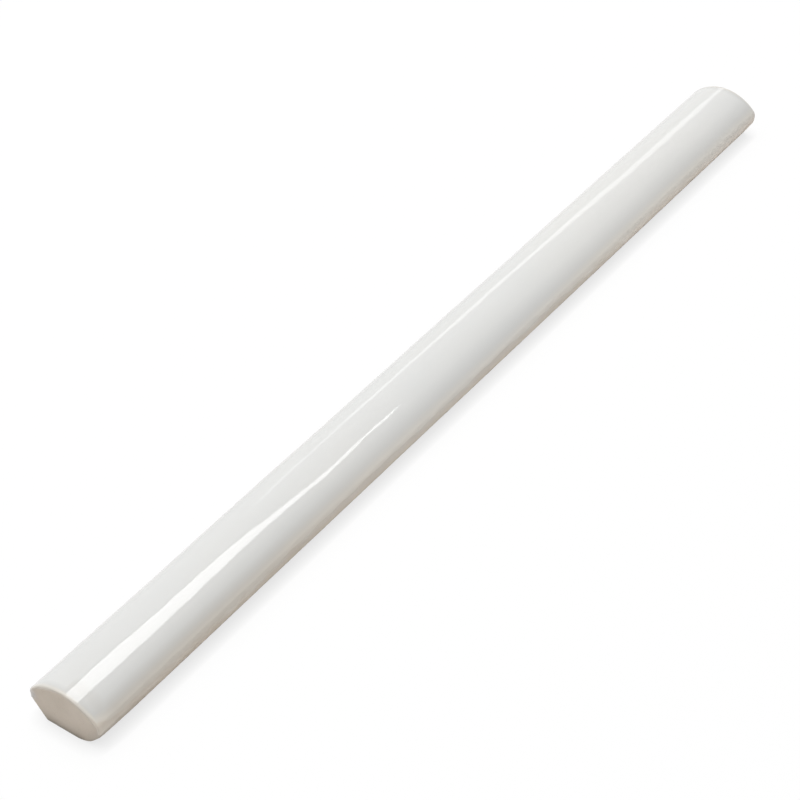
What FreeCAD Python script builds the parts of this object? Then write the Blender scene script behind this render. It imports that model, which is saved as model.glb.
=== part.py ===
import FreeCAD, Part

import os

# Bullnose trim tile: one pressed and fired ceramic bar with a domed, glazed face.
# It lies on its flat back, with X across it, Y along it and Z up, in millimetres.
# The origin is at the middle of the back.

# The bar as a whole
length = 230.0
back_width = 11.2

# Each side leans outwards from the back up to its foot line, a little inside the arris, and
# stands almost upright from there to the arris, where the dome starts. The sizes are taken to
# the unrounded corners.
foot_height = 4.2
arris_span = 17.0
arris_height = 6.4
foot_inset = 0.05

# The crown of the dome stands this far above the arrises.
dome_rise = 4.3

# Roundings of the sides' edges, of the glazed rim all round the dome, and of the back's rim
side_radius = 0.4
glazed_rim_radius = 0.4
back_rim_radius = 0.3

# The lower corner at the near end, on the +X side, is worn away to two flats. They meet in a
# ridge, which starts on the near end and runs out at the back's edge.
worn_across = 3.3
worn_along = 9.0
worn_ridge_inset = 0.3
worn_ridge_height = 1.05

near_end = -length / 2
back_reach = back_width / 2
arris_reach = arris_span / 2
foot_reach = arris_reach - foot_inset
crown_level = arris_height + dome_rise


def near_point(x, z):
    """A point in the plane of the near end."""
    return FreeCAD.Vector(x, near_end, z)


def section():
    """The section at the near end: flat back, two bent sides and a dome of one circular arc."""
    back_left, back_right = near_point(-back_reach, 0), near_point(back_reach, 0)
    foot_left, foot_right = near_point(-foot_reach, foot_height), near_point(foot_reach, foot_height)
    arris_left, arris_right = near_point(-arris_reach, arris_height), near_point(arris_reach, arris_height)
    outline = Part.Wire(
        [
            Part.LineSegment(back_left, back_right).toShape(),
            Part.LineSegment(back_right, foot_right).toShape(),
            Part.LineSegment(foot_right, arris_right).toShape(),
            Part.Arc(arris_right, near_point(0, crown_level), arris_left).toShape(),
            Part.LineSegment(arris_left, foot_left).toShape(),
            Part.LineSegment(foot_left, back_left).toShape(),
        ]
    )
    return Part.Face(outline)


def dome_face(bar):
    return max(bar.Faces, key=lambda face: face.CenterOfMass.z)


def back_face(bar):
    return min(bar.Faces, key=lambda face: face.CenterOfMass.z)


def side_edges(bar):
    """The edges of the two sides that touch neither the dome nor the back along their length."""
    taken = dome_face(bar).Edges + back_face(bar).Edges
    return [edge for edge in bar.Edges if not any(edge.isSame(other) for other in taken)]


def cut_away(bar, first, second, third, removed):
    """Cut off the side of the plane through three points on which the removed point lies."""
    outwards = (second - first).cross(third - first).normalize()
    if outwards.dot(removed - first) < 0:
        outwards = -outwards
    block = Part.makeBox(length, length, length, FreeCAD.Vector(-length / 2, -length / 2, 0))
    block.Placement = FreeCAD.Placement(first, FreeCAD.Rotation(FreeCAD.Vector(0, 0, 1), outwards))
    return bar.cut(block)


def wear_corner(bar):
    """Wear the near end's lower corner on the +X side down to two flats and the ridge between."""
    corner = near_point(back_reach, 0)
    across = near_point(back_reach - worn_across, 0)
    ridge = near_point(back_reach - worn_ridge_inset, worn_ridge_height)
    foot = near_point(foot_reach, foot_height)
    run_out = corner + FreeCAD.Vector(0, worn_along, 0)
    bar = cut_away(bar, across, ridge, run_out, corner)
    return cut_away(bar, ridge, foot, run_out, corner)


def bullnose_trim():
    bar = section().extrude(FreeCAD.Vector(0, length, 0))
    bar = bar.makeFillet(side_radius, side_edges(bar))
    bar = bar.makeFillet(glazed_rim_radius, dome_face(bar).Edges)
    bar = bar.makeFillet(back_rim_radius, back_face(bar).Edges)
    return wear_corner(bar)


os.makedirs("parts", exist_ok=True)
bullnose_trim().exportStep("parts/bullnose_trim.step")
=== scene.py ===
import math

import bpy
import numpy as np
from mathutils import Matrix, Vector


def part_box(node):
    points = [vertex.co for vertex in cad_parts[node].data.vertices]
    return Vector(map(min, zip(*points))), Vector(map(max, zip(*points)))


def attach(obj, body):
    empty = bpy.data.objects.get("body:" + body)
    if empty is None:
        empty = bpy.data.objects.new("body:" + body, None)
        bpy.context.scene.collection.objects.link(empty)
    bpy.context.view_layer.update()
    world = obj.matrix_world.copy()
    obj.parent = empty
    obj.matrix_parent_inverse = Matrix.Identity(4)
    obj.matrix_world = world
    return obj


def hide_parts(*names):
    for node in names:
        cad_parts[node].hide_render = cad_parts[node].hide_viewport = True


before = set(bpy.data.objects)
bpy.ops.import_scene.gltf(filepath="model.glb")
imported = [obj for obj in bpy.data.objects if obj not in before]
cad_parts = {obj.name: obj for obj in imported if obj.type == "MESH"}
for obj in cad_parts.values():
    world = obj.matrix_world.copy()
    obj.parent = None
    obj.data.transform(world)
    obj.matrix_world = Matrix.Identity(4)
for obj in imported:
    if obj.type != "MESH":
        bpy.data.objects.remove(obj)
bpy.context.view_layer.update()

# Bullnose trim tile, in metres. X runs across it, Y along it and Z up, and it lies on its back.
mm = 0.001
degree = math.pi / 180

# Sizes of the section that the frame doesn't give. Each side leans outwards from the back's
# edge to its foot line, and stands almost upright from there to the arris.
back_reach = 5.6 * mm
foot_reach = 8.45 * mm
foot_height = 4.2 * mm
arris_reach = 8.5 * mm
arris_height = 6.4 * mm
dome_rise = 4.3 * mm
side_radius = 0.4 * mm
rim_radius = 0.4 * mm
back_rim_radius = 0.3 * mm

# The worn corner's two flats, and how soft their edges are
worn_across = 3.3 * mm
worn_along = 9.0 * mm
worn_ridge_inset = 0.3 * mm
worn_ridge_height = 1.05 * mm
worn_softness = 0.5 * mm
worn_edge_softness = 0.12 * mm
# The worn flats get the painted shade near the underside that a side has at this height.
worn_shade_height = 0.8 * mm

node_low, node_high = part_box("bullnose_trim")
near_end, far_end = node_low.y, node_high.y
left_arris_corner = np.array((-arris_reach, near_end, arris_height))
right_arris_corner = np.array((arris_reach, near_end, arris_height))

dome_radius = (arris_reach**2 + dome_rise**2) / (2 * dome_rise)
dome_centre_z = arris_height + dome_rise - dome_radius
dome_half_angle = math.asin(arris_reach / dome_radius)
foot_lean = math.atan2(foot_reach - back_reach, foot_height)
band_lean = math.atan2(arris_reach - foot_reach, arris_height - foot_height)
foot_length = foot_height / math.cos(foot_lean)
band_length = (arris_height - foot_height) / math.cos(band_lean)

# The glaze stands proud of the clay. It runs over the arris, thins and ends in a soft bead on
# the side. Over the ends it wraps only a little.
glaze_thickness = 0.06 * mm
bead_height = 0.02 * mm
bead_width = 0.4 * mm
glaze_drop = 1.5 * mm
end_wrap = 0.40 * mm
line_softness = 0.03 * mm
# It thins towards its line, this many times faster over the ends than over the sides.
end_sharpness = 3.0

# The glaze's line wanders, and its tones wander this many times as far. What is further from the
# line than about the reach keeps its place.
glaze_drop_wander = 0.15 * mm
tone_wander = 2.0
wander_reach = 1.0 * mm
wander_lengths = (9 * mm, 7 * mm, 9 * mm)
fine_wander_share = 0.5
fine_wander_length = 2.4 * mm
# Along the middle of the tile the line stays closer to the arris.
line_rise = 1.1 * mm
line_rise_centre, line_rise_reach = -15 * mm, 62 * mm

# At the near end a run of glaze hangs over the left arris, and the glaze is rubbed thin round the
# right arris corner.
run_centre = left_arris_corner + (0.5 * mm, 0.0, -0.7 * mm)
run_radius = 1.1 * mm
run_depth = 1.2 * mm
rubbed_radius = 2.4 * mm
rubbed_depth = 2.0 * mm

# Painted shade darkens the right side's near part. It starts a little behind the near end,
# and fades out along the tile and up the dome.
right_shade_start = 5.0 * mm
right_shade_reach = 68.0 * mm
right_shade_full_depth, right_shade_end_depth = 2.8 * mm, 5.0 * mm

# The glaze settled unevenly, so the dome has long, shallow waves with smaller ones among them.
wave_height = 0.018 * mm
wave_lengths = (10 * mm, 26 * mm, 10 * mm)
small_wave_share = 0.35
small_wave_lengths = (5 * mm, 9 * mm, 5 * mm)

# The bare clay has a grain.
grain_height = 0.010 * mm
grain_length = 1.1 * mm
grain_waves = 30


# Smooth noise, and smooth falling off


def waves(points, wavelength, seed, count=14):
    """Smooth noise of about unit height at each point, with features about one wavelength apart:
    a sum of plane waves in random directions, which the seed fixes.
    wavelength is one length, or three for X, Y and Z."""
    lowest, highest = 0.6, 1.4
    draw = np.random.default_rng(seed)
    directions = draw.normal(size=(count, 3))
    directions /= np.linalg.norm(directions, axis=1)[:, None]
    directions *= draw.uniform(lowest, highest, size=(count, 1))
    phases = draw.uniform(0, 2 * math.pi, size=count)
    scaled = points / np.broadcast_to(wavelength, 3)
    return np.sin(2 * math.pi * scaled @ directions.T + phases).sum(axis=1) * math.sqrt(2 / count)


def falloff(distance, reach, power=2):
    """1 at no distance, falling to 0. With a higher power it stays near 1 for longer."""
    return np.exp(-((distance / reach) ** power))


# The tile's rounded form, as a distance that is negative inside


def rounded_corner(a, b, radius):
    """The distance to the corner of two faces at distances a and b, rounded with that radius."""
    inside = np.minimum(np.maximum(a, b), -radius)
    return inside + np.hypot(np.maximum(a + radius, 0), np.maximum(b + radius, 0))


def side(x, z):
    """The distance outside one side, whose x grows outwards."""
    foot = (x - back_reach) * math.cos(foot_lean) - z * math.sin(foot_lean)
    band = (x - arris_reach) * math.cos(band_lean) - (z - arris_height) * math.sin(band_lean)
    return rounded_corner(foot, band, side_radius)


def beyond_plane(p, first, second, third, removed):
    """The distance beyond the plane through three points, on the side of the removed point."""
    first, removed = np.array(first), np.array(removed)
    outwards = np.cross(np.array(second) - first, np.array(third) - first)
    outwards *= np.sign(outwards @ (removed - first)) / np.linalg.norm(outwards)
    return (p - first) @ outwards


def worn_flats(p):
    """The distance beyond the two flats to which the near end's right lower corner is worn."""
    corner = (back_reach, near_end, 0.0)
    across = (back_reach - worn_across, near_end, 0.0)
    ridge = (back_reach - worn_ridge_inset, near_end, worn_ridge_height)
    foot = (foot_reach, near_end, foot_height)
    run_out = (back_reach, near_end + worn_along, 0.0)
    lower = beyond_plane(p, across, ridge, run_out, corner)
    upper = beyond_plane(p, ridge, foot, run_out, corner)
    return rounded_corner(lower, upper, worn_softness)


def form(p):
    """The distance outside the whole tile, before glaze and grain."""
    x, y, z = p[:, 0], p[:, 1], p[:, 2]
    corners = [
        rounded_corner(side(outwards, z), beyond_end, side_radius)
        for outwards in (x, -x)
        for beyond_end in (near_end - y, y - far_end)
    ]
    plan = np.maximum.reduce(corners)
    dome = np.hypot(x, z - dome_centre_z) - dome_radius
    whole = rounded_corner(rounded_corner(plan, -z, back_rim_radius), dome, rim_radius)
    return rounded_corner(whole, worn_flats(p), worn_edge_softness)


def form_normals(p):
    """The direction straight out of the form at each point, by small steps along the axes."""
    step = 1e-6
    axes = np.eye(3) * step
    slope = np.stack([form(p + axis) - form(p - axis) for axis in axes], axis=1)
    return slope / np.linalg.norm(slope, axis=1)[:, None]


def onto_form(origins, targets):
    """Where each ray from an origin inside the form to its target leaves the form, or the place
    a little beyond the target if it doesn't. Each step halves the stretch that is left."""
    beyond, halvings = 1.1, 45
    low, high = np.zeros(len(origins)), np.full(len(origins), beyond)
    for _ in range(halvings):
        middle = (low + high) / 2
        inside = form(origins + middle[:, None] * (targets - origins)) < 0
        low, high = np.where(inside, middle, low), np.where(inside, high, middle)
    return origins + low[:, None] * (targets - origins)


# The grid: rings round the section, repeated at stations along the tile and over each end

# Rows on each part of the section, and how much they crowd towards that part's edges
band_rows, band_crowding = 28, 0.3
foot_rows, foot_crowding = 18, 0.85
dome_rows, dome_crowding = 104, 0.6
half_back_rows, back_crowding = 12, 0.85

body_stations = 300
end_zone = 5.0 * mm
end_steps = 22
cap_steps = 26
ray_start_height = 4.6 * mm


def crowded(count, crowding):
    """count shares from 0 up towards 1, closer together near both."""
    u = np.arange(count) / count
    return u - crowding * np.sin(2 * math.pi * u) / (2 * math.pi)


def along(start, stop, shares):
    """The points at those shares of the way from start to stop."""
    start, stop = np.array(start), np.array(stop)
    return start + np.asarray(shares)[:, None] * (stop - start)


def side_rows():
    """The right side's points (x, z) from the arris down to the back, and how far down each is."""
    arris, foot, back = (arris_reach, arris_height), (foot_reach, foot_height), (back_reach, 0.0)
    down_band = band_length * crowded(band_rows, band_crowding)
    down_foot = foot_length * crowded(foot_rows, foot_crowding)
    points = [along(arris, foot, down_band / band_length), along(foot, back, down_foot / foot_length)]
    return np.concatenate(points), np.concatenate([down_band, band_length + down_foot])


def ring():
    """The unrounded section, once round from the back's middle by the right side and the dome.
    Returns its points (x, z) and how far inside the glaze line each one lies."""
    side_points, down = side_rows()
    angle = dome_half_angle * (1 - 2 * crowded(dome_rows, dome_crowding))
    dome = np.stack(
        [dome_radius * np.sin(angle), dome_centre_z + dome_radius * np.cos(angle)], axis=1
    )
    half_back = crowded(2 * half_back_rows, back_crowding)[half_back_rows:] * 2 - 1
    back = along((0.0, 0.0), (back_reach, 0.0), np.append(half_back, 1.0))
    mirror = np.array((-1.0, 1.0))
    points = np.concatenate(
        [back, side_points[:0:-1], dome, side_points * mirror, back[:0:-1] * mirror]
    )
    bare = np.full(len(half_back) + 1, -foot_length)
    depth = np.concatenate(
        [
            bare,
            glaze_drop - down[:0:-1],
            glaze_drop + (dome_half_angle - np.abs(angle)) * dome_radius,
            glaze_drop - down,
            bare[1:],
        ]
    )
    return points, depth


def stations():
    """Places along the tile, closest together near its two ends."""
    fine = end_zone * (1 - np.cos(np.linspace(0, math.pi / 2, end_steps)))
    middle = np.linspace(near_end + end_zone, far_end - end_zone, body_stations)
    return np.concatenate([near_end + fine, middle[1:-1], (far_end - fine)[::-1]])


def cap_insets():
    """How far in from the rim each ring over an end lies, as a share of the way to its middle."""
    return 1 - np.cos(np.linspace(0, math.pi / 2, cap_steps + 1))[1:-1]


def section_grid(section, depth):
    """The rings from end to end and then the middles of the two ends, before any rounding.
    Returns where each point's ray starts inside the tile, the point, and how far inside the glaze
    line it lies, for its shape and for its tone."""
    count = len(section)
    starts, grid, shape_depth, tone_depth = [], [], [], []

    def add_ring(y, start_y, scale, depth_from_end):
        offset = (section - (0.0, ray_start_height)) * scale
        heights = ray_start_height + offset[:, 1]
        starts.append(np.broadcast_to((0.0, start_y, ray_start_height), (count, 3)))
        grid.append(np.stack([offset[:, 0], np.full(count, y), heights], axis=1))
        shape_depth.append(np.minimum(depth, depth_from_end))
        tone_depth.append(np.minimum(depth, end_sharpness * depth_from_end))

    first_start, last_start = near_end + end_zone, far_end - end_zone
    rim_distance = np.hypot(section[:, 0], section[:, 1] - ray_start_height)
    for inset in cap_insets()[::-1]:
        add_ring(near_end, first_start, 1 - inset, end_wrap - inset * rim_distance)
    for y in stations():
        start = min(max(y, first_start), last_start)
        from_end = min(y - near_end, far_end - y)
        add_ring(y, start, 1.0, end_wrap + from_end)
    for inset in cap_insets():
        add_ring(far_end, last_start, 1 - inset, end_wrap - inset * rim_distance)

    for y, start in ((near_end, first_start), (far_end, last_start)):
        starts.append([(0.0, start, ray_start_height)])
        grid.append([(0.0, y, ray_start_height)])
        shape_depth.append([-foot_length])
        tone_depth.append([-foot_length])
    return [np.concatenate(part) for part in (starts, grid, shape_depth, tone_depth)]


def grid_faces(count, rings):
    """Faces between rings of count points, and fans from the last two points that close the ends."""
    faces = []
    for j in range(rings - 1):
        for i in range(count):
            a, b = j * count + i, j * count + (i + 1) % count
            faces.append((a, b, b + count, a + count))
    near_middle, far_middle, last_ring = rings * count, rings * count + 1, (rings - 1) * count
    for i in range(count):
        following = (i + 1) % count
        faces.append((following, i, near_middle))
        faces.append((last_ring + i, last_ring + following, far_middle))
    return faces


# What lies on the form: the glaze with its line, bead and waves, the clay's grain, and the painted
# shade on the right side


def glaze_line(points, depth):
    """How far inside the glaze's real line each point lies, how far the line has moved out there,
    and how much of the run shows."""
    wander = waves(points, wander_lengths, seed=3)
    wander += fine_wander_share * waves(points, fine_wander_length, seed=4)
    rise = line_rise * falloff(points[:, 1] - line_rise_centre, line_rise_reach, power=4)
    shift = glaze_drop_wander * wander * np.exp(-np.abs(depth - rise) / wander_reach)
    run = falloff(np.linalg.norm(points - run_centre, axis=1), run_radius)
    shift += run_depth * run
    return depth + shift - rise, shift, run


def relief(points, line_depth):
    """How far glaze or grain stands out from the form at each point. The underside stays flat."""
    in_glaze = 1 / (1 + np.exp(-line_depth / line_softness))
    bead = bead_height * falloff(line_depth - bead_width, bead_width)
    ripple = wave_height * waves(points, wave_lengths, seed=11)
    ripple += small_wave_share * wave_height * waves(points, small_wave_lengths, seed=12)
    grain = grain_height * waves(points, grain_length, seed=21, count=grain_waves)
    proud = in_glaze * (glaze_thickness + bead + ripple) + (1 - in_glaze) * grain
    return proud * np.clip(points[:, 2] / back_rim_radius, 0, 1)


def right_side_shade(points, depth):
    """How much painted shade lies at each point, from 0 to 1."""
    behind_end = points[:, 1] - near_end
    right_shade = np.clip(behind_end / right_shade_start, 0, 1) * falloff(behind_end, right_shade_reach, power=4)
    up_dome = (depth - right_shade_full_depth) / (right_shade_end_depth - right_shade_full_depth)
    return right_shade * np.where(points[:, 0] > 0, 1 - np.clip(up_dome, 0, 1), 0)


def bullnose_mesh():
    section, depth = ring()
    origins, targets, shape_depth, tone_depth = section_grid(section, depth)
    points = onto_form(origins, targets)
    normals = form_normals(points)
    line_depth, shift, run = glaze_line(points, shape_depth)
    from_rubbed = np.linalg.norm(points - right_arris_corner, axis=1)
    rubbed = rubbed_depth * falloff(from_rubbed, rubbed_radius)
    tone_depth = tone_depth + tone_wander * shift - rubbed
    right_shade = right_side_shade(points, shape_depth)
    points = points + normals * relief(points, line_depth)[:, None]
    points[:, 2] = np.maximum(points[:, 2], 0)

    faces = grid_faces(len(section), len(points) // len(section))
    glazed = [line_depth[list(corners)].mean() > 0 for corners in faces]
    mesh = bpy.data.meshes.new("bullnose_trim_finish")
    mesh.from_pydata(points.tolist(), [], faces)
    mesh.polygons.foreach_set("material_index", [0 if g else 1 for g in glazed])
    mesh.polygons.foreach_set("use_smooth", [True] * len(faces))
    # Height for the clay's painted shade near the underside; the worn flats count as this high.
    above_underside = np.minimum(points[:, 2], worn_shade_height - worn_flats(points))
    for name, values in (
        ("glaze_depth_mm", tone_depth / mm),
        ("above_underside_mm", above_underside / mm),
        ("glaze_run", run),
        ("right_shade", right_shade),
    ):
        attribute = mesh.attributes.new(name, "FLOAT", "POINT")
        attribute.data.foreach_set("value", values.astype(np.float32))
    mesh.validate()
    mesh.update()
    return mesh


# Materials


def new_material(name):
    material = bpy.data.materials.new(name)
    material.use_nodes = True
    nodes = material.node_tree.nodes
    return material, nodes, material.node_tree.links, nodes["Principled BSDF"]


def noise_node(nodes, links, scale, detail=2.0, stretch=(1, 1, 1)):
    """A noise texture in the object's own metres, stretched along its axes."""
    place = nodes.new("ShaderNodeTexCoord")
    mapping = nodes.new("ShaderNodeMapping")
    mapping.inputs["Scale"].default_value = stretch
    texture = nodes.new("ShaderNodeTexNoise")
    texture.inputs["Scale"].default_value = scale
    texture.inputs["Detail"].default_value = detail
    links.new(place.outputs["Object"], mapping.inputs["Vector"])
    links.new(mapping.outputs["Vector"], texture.inputs["Vector"])
    return texture.outputs["Fac"]


def ramp(nodes, links, value, stops):
    """A colour ramp through the (place, colour) stops."""
    node = nodes.new("ShaderNodeValToRGB")
    elements = node.color_ramp.elements
    while len(elements) < len(stops):
        elements.new(0.5)
    for element, (place, colour) in zip(elements, stops):
        element.position = place
        element.color = (*colour, 1.0)
    links.new(value, node.inputs["Fac"])
    return node.outputs["Color"]


def spread(nodes, links, value, low, high, to_low, to_high):
    """The value's range from low to high, spread from to_low to to_high."""
    node = nodes.new("ShaderNodeMapRange")
    node.inputs["From Min"].default_value = low
    node.inputs["From Max"].default_value = high
    node.inputs["To Min"].default_value = to_low
    node.inputs["To Max"].default_value = to_high
    links.new(value, node.inputs["Value"])
    return node.outputs["Result"]


def tinged(nodes, links, share, body, colour):
    """The body colour, with a share of one plain colour mixed in."""
    node = nodes.new("ShaderNodeMix")
    node.data_type = "RGBA"
    links.new(share, node.inputs["Factor"])
    links.new(body, node.inputs["A"])
    node.inputs["B"].default_value = (*colour, 1.0)
    return node.outputs["Result"]


def multiplied(nodes, links, first, second):
    node = nodes.new("ShaderNodeMix")
    node.data_type = "RGBA"
    node.blend_type = "MULTIPLY"
    node.inputs["Factor"].default_value = 1.0
    links.new(first, node.inputs["A"])
    links.new(second, node.inputs["B"])
    return node.outputs["Result"]


def measured(nodes, name):
    """The mesh's own measure of that name."""
    node = nodes.new("ShaderNodeAttribute")
    node.attribute_name = name
    return node.outputs["Fac"]


def bumped(nodes, links, height, distance, strength=1.0):
    node = nodes.new("ShaderNodeBump")
    node.inputs["Strength"].default_value = strength
    node.inputs["Distance"].default_value = distance
    links.new(height, node.inputs["Height"])
    return node.outputs["Normal"]


# The glaze's tint comes in faint clouds, which are drawn out along the tile. Each noise scale is
# about the number of features in a metre.
glaze_cool = (0.970, 0.975, 0.970)
glaze_warm = (1.000, 0.995, 0.975)
glaze_tint = [(0.35, glaze_cool), (0.65, glaze_warm)]
glaze_cloud_scale = 45
glaze_cloud_stretch = (1, 0.35, 1)
# The glaze's colour by its distance inside its line, in millimetres. Thin near its line, it takes
# the clay's warm tone; the pale stops at 1.2 and 1.8 mm are a painted highlight along the arris,
# and the darker stops from 2.7 to 5.0 mm are painted shade just above it.
glaze_tones_and_painted_light = [
    (0.0, (0.820, 0.735, 0.640)),
    (0.7, (0.812, 0.738, 0.652)),
    (1.2, (0.862, 0.810, 0.740)),
    (1.8, (0.862, 0.822, 0.764)),
    (2.7, (0.795, 0.774, 0.736)),
    (3.6, (0.768, 0.763, 0.748)),
    (5.0, (0.797, 0.797, 0.788)),
    (6.8, (0.835, 0.835, 0.827)),
]
# Its gloss has a faint haze, and its surface a fine orange peel.
haze_scale = 320
haze_low, haze_high = 0.3, 0.7
glossiest, haziest = 0.02, 0.05
glaze_refraction = 1.52
orange_peel_scale = 900
orange_peel_height = 0.002 * mm

run_colour = (0.720, 0.665, 0.630)
# Painted shade: the colour that darkens the right side's near part.
right_shade_colour = (0.905, 0.885, 0.860)

# The clay's colour comes in small clouds, with darker specks where the grit noise is highest.
clay_pale = (0.840, 0.745, 0.640)
clay_dark = (0.765, 0.672, 0.568)
clay_tint = [(0.3, clay_dark), (0.7, clay_pale)]
clay_cloud_scale = 140
clay_speck = (0.590, 0.495, 0.400)
grit_scale = 2600
speck_low, speck_high = 0.62, 0.72
speck_share = 0.4
# A mist of glaze lies on the clay below the arris, by the distance inside the glaze's line, in
# millimetres.
clay_mist = (0.820, 0.790, 0.745)
mist_low, mist_high = -1.5, 0.5
mist_share = 0.5
# Painted shade near the underside: how much of its colour the clay keeps by its height above the
# underside, in millimetres
clay_bottom_shade = [(0.0, 0.45), (0.6, 0.62), (1.3, 0.82), (2.5, 0.95), (4.0, 1.0)]
clay_roughness = 0.9
clay_specular = 0.25
clay_grain_scale = 1800
clay_grain_height = 0.06 * mm
clay_grain_strength = 0.8


def with_run_and_right_shade(nodes, links, body):
    """The body colour with the colour of the glaze's run and the painted shade over it."""
    body = tinged(nodes, links, measured(nodes, "glaze_run"), body, run_colour)
    right_shade = ramp(nodes, links, measured(nodes, "right_shade"), [(0.0, (1, 1, 1)), (1.0, right_shade_colour)])
    return multiplied(nodes, links, body, right_shade)


def glaze_material():
    material, nodes, links, shader = new_material("white_glaze")
    cloud = noise_node(nodes, links, glaze_cloud_scale, detail=3, stretch=glaze_cloud_stretch)
    tint = ramp(nodes, links, cloud, glaze_tint)
    # The glaze's colour by depth, with its painted highlight along the arris and painted shade above
    # it.
    thickest = glaze_tones_and_painted_light[-1][0]
    share = spread(nodes, links, measured(nodes, "glaze_depth_mm"), 0, thickest, 0, 1)
    body = ramp(nodes, links, share, [(depth / thickest, tone) for depth, tone in glaze_tones_and_painted_light])
    body = multiplied(nodes, links, body, tint)
    links.new(with_run_and_right_shade(nodes, links, body), shader.inputs["Base Color"])
    haze = noise_node(nodes, links, haze_scale, detail=4)
    roughness = spread(nodes, links, haze, haze_low, haze_high, glossiest, haziest)
    links.new(roughness, shader.inputs["Roughness"])
    shader.inputs["IOR"].default_value = glaze_refraction
    orange_peel = noise_node(nodes, links, orange_peel_scale, detail=1)
    links.new(bumped(nodes, links, orange_peel, orange_peel_height), shader.inputs["Normal"])
    return material


def clay_material():
    material, nodes, links, shader = new_material("bare_fired_clay")
    cloud = noise_node(nodes, links, clay_cloud_scale, detail=5)
    body = ramp(nodes, links, cloud, clay_tint)
    grit = noise_node(nodes, links, grit_scale, detail=2)
    share = spread(nodes, links, grit, speck_low, speck_high, 0, speck_share)
    body = tinged(nodes, links, share, body, clay_speck)
    line_depth = measured(nodes, "glaze_depth_mm")
    share = spread(nodes, links, line_depth, mist_low, mist_high, 0, mist_share)
    body = tinged(nodes, links, share, body, clay_mist)
    # The clay darkens towards the underside: painted shade.
    highest = clay_bottom_shade[-1][0]
    share = spread(nodes, links, measured(nodes, "above_underside_mm"), 0, highest, 0, 1)
    bottom_shade = ramp(nodes, links, share, [(z / highest, (grey, grey, grey)) for z, grey in clay_bottom_shade])
    body = multiplied(nodes, links, body, bottom_shade)
    links.new(with_run_and_right_shade(nodes, links, body), shader.inputs["Base Color"])
    shader.inputs["Roughness"].default_value = clay_roughness
    shader.inputs["Specular IOR Level"].default_value = clay_specular
    grain = noise_node(nodes, links, clay_grain_scale, detail=4)
    grain = bumped(nodes, links, grain, clay_grain_height, clay_grain_strength)
    links.new(grain, shader.inputs["Normal"])
    return material


def add_object(name, data):
    thing = bpy.data.objects.new(name, data)
    bpy.context.scene.collection.objects.link(thing)
    return thing


def make_tile():
    tile = add_object("bullnose_trim_finish", bullnose_mesh())
    tile.data.materials.append(glaze_material())
    tile.data.materials.append(clay_material())
    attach(tile, "root")
    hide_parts("bullnose_trim")


# The room: a pale floor, a softbox overhead to the left, a low strip at the back and soft fill


def seen_directly(nodes, links):
    """1 for what the camera sees, also by reflection or through glass, and 0 for other light."""
    path = nodes.new("ShaderNodeLightPath")
    total = path.outputs["Is Camera Ray"]
    for name in ("Is Glossy Ray", "Is Transmission Ray"):
        larger = nodes.new("ShaderNodeMath")
        larger.operation = "MAXIMUM"
        links.new(total, larger.inputs[0])
        links.new(path.outputs[name], larger.inputs[1])
        total = larger.outputs["Value"]
    return total


def add_flat(name, corners):
    """An object of one flat face, with its new material's nodes and links, which are still empty."""
    mesh = bpy.data.meshes.new(name)
    mesh.from_pydata(corners, [], [tuple(range(len(corners)))])
    material = bpy.data.materials.new(name)
    material.use_nodes = True
    material.node_tree.nodes.clear()
    mesh.materials.append(material)
    return add_object(name, mesh), material.node_tree.nodes, material.node_tree.links


floor_reach = 4.0
floor_grey = 0.9
# What is seen of the floor: a paper that takes the tile's shadow, and a glow that loses some of its
# strength close to the tile, which is a painted contact shadow
floor_paper = 0.05
floor_glow = 0.955
contact_reach = 3.3 * mm
contact_shadow_share = 0.27


def make_floor():
    r = floor_reach
    floor, nodes, links = add_flat("floor", [(-r, -r, 0), (r, -r, 0), (r, r, 0), (-r, r, 0)])
    plain = nodes.new("ShaderNodeBsdfDiffuse")
    plain.inputs["Color"].default_value = (floor_grey, floor_grey, floor_grey, 1)
    paper = nodes.new("ShaderNodeBsdfDiffuse")
    paper.inputs["Color"].default_value = (floor_paper, floor_paper, floor_paper, 1)
    # The glow dims by ambient occlusion near the tile: a painted contact shadow.
    openness = nodes.new("ShaderNodeAmbientOcclusion")
    openness.inputs["Distance"].default_value = contact_reach
    glow = nodes.new("ShaderNodeEmission")
    closest_glow = floor_glow * (1 - contact_shadow_share)
    strength = spread(nodes, links, openness.outputs["AO"], 0, 1, closest_glow, floor_glow)
    links.new(strength, glow.inputs["Strength"])
    lit_paper = nodes.new("ShaderNodeAddShader")
    choose = nodes.new("ShaderNodeMixShader")
    output = nodes.new("ShaderNodeOutputMaterial")
    links.new(paper.outputs["BSDF"], lit_paper.inputs[0])
    links.new(glow.outputs["Emission"], lit_paper.inputs[1])
    links.new(seen_directly(nodes, links), choose.inputs["Fac"])
    links.new(plain.outputs["BSDF"], choose.inputs[1])
    links.new(lit_paper.outputs["Shader"], choose.inputs[2])
    links.new(choose.outputs["Shader"], output.inputs["Surface"])


# The light tent is brightest overhead and behind the tile.
tent_strength = 0.234
tent_contrast = 0.97
tent_bright_side = Vector((0.058, 0.178, 0.127)).normalized()


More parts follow.
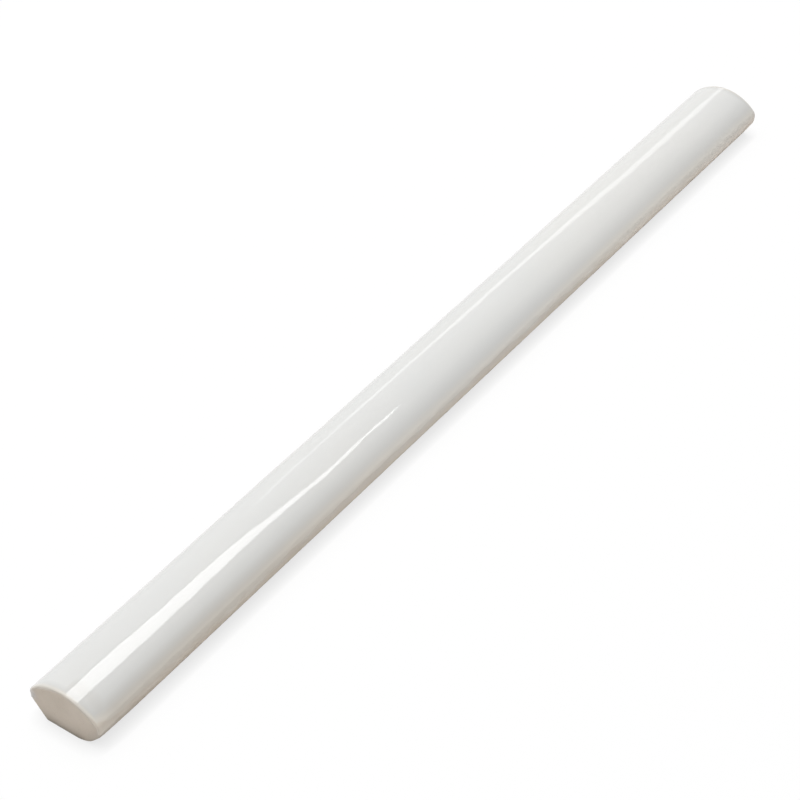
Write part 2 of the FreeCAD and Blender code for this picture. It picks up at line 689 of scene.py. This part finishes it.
def make_world():
    world = bpy.data.worlds.new("studio")
    bpy.context.scene.world = world
    world.use_nodes = True
    nodes, links = world.node_tree.nodes, world.node_tree.links
    direction = nodes.new("ShaderNodeTexCoord")
    towards_bright = nodes.new("ShaderNodeVectorMath")
    towards_bright.operation = "DOT_PRODUCT"
    towards_bright.inputs[1].default_value = tent_bright_side
    links.new(direction.outputs["Generated"], towards_bright.inputs[0])
    dim, bright = tent_strength * (1 - tent_contrast), tent_strength * (1 + tent_contrast)
    tent = spread(nodes, links, towards_bright.outputs["Value"], -1, 1, dim, bright)
    choose = nodes.new("ShaderNodeMix")
    links.new(seen_directly(nodes, links), choose.inputs["Factor"])
    links.new(tent, choose.inputs["A"])
    choose.inputs["B"].default_value = 1.0
    nodes["Background"].inputs["Color"].default_value = (1, 1, 1, 1)
    links.new(choose.outputs["Result"], nodes["Background"].inputs["Strength"])


def make_panel(name, corners, strength):
    """A glowing panel that the camera doesn't see and reflections do."""
    panel, nodes, links = add_flat(name, corners)
    glow = nodes.new("ShaderNodeEmission")
    glow.inputs["Strength"].default_value = strength
    output = nodes.new("ShaderNodeOutputMaterial")
    links.new(glow.outputs["Emission"], output.inputs["Surface"])
    panel.visible_camera = False


# The softbox and the larger panel in front of it hang on one level. Their outlines are in metres
# right of and beyond the tile's middle.
panel_level = 0.9
softbox_outline = [(-0.46, 0.20), (0.09, 0.20), (0.09, 0.35), (0.02, 0.44), (0.02, 0.47)]
softbox_outline += [(0.10, 0.53), (0.10, 0.57), (0.06, 0.61), (0.04, 0.63), (0.02, 0.61)]
softbox_outline += [(-0.02, 0.57), (-0.01, 0.54), (-0.19, 0.48), (-0.34, 0.46), (-0.38, 0.40)]
softbox_strength = 6.0
key_outline = [(-0.85, -0.75), (0.09, -0.75), (0.09, 0.20), (-0.85, 0.20)]
key_strength = 2.3

# The strip's lower edge at the back, in metres right of the tile's middle and up
strip_distance = 1.0
strip_line = [(-1.56, 0.78), (-1.50, 0.71), (-1.38, 0.57), (-1.25, 0.58), (-1.12, 0.54)]
strip_line += [(-0.98, 0.52), (-0.81, 0.54), (-0.66, 0.55), (-0.50, 0.53)]
strip_depth = 0.17
strip_strength = 2.4


def make_lights():
    for name, outline, strength in (
        ("softbox", softbox_outline, softbox_strength),
        ("key_panel", key_outline, key_strength),
    ):
        make_panel(name, [(x, y, panel_level) for x, y in outline], strength)
    upper_line = [(x, z + strip_depth) for x, z in reversed(strip_line)]
    strip = [(x, strip_distance, z) for x, z in strip_line + upper_line]
    make_panel("back_strip", strip, strip_strength)


# The photograph's viewpoint. The heading turns the camera from -X towards +Y, and the pitch turns
# it down.
camera_place = Vector((0.209445, -0.265683, 0.282601))
camera_heading = 50.0541 * degree
camera_pitch = 40.2406 * degree
camera_roll = 4.8859 * degree
sensor_width = 36.0
focal_length_px = 2092.7
image_width_px = 800
nearest_seen, furthest_seen = 0.01, 20.0


def make_camera():
    data = bpy.data.cameras.new("camera")
    data.sensor_width = sensor_width
    data.lens = focal_length_px / image_width_px * sensor_width
    data.clip_start, data.clip_end = nearest_seen, furthest_seen
    camera = add_object("camera", data)
    turn_sin, turn_cos = math.sin(camera_heading), math.cos(camera_heading)
    tilt_sin, tilt_cos = math.sin(camera_pitch), math.cos(camera_pitch)
    across = Vector((turn_sin, turn_cos, 0))
    ahead = Vector((-turn_cos * tilt_cos, turn_sin * tilt_cos, -tilt_sin))
    above = Vector((-turn_cos * tilt_sin, turn_sin * tilt_sin, tilt_cos))
    right = across * math.cos(camera_roll) - above * math.sin(camera_roll)
    up = across * math.sin(camera_roll) + above * math.cos(camera_roll)
    turned = Matrix((right, up, -ahead)).transposed().to_4x4()
    camera.matrix_world = Matrix.Translation(camera_place) @ turned
    bpy.context.scene.camera = camera


bpy.context.scene.view_settings.view_transform = "Standard"
make_camera()
make_tile()
make_floor()
make_world()
make_lights()
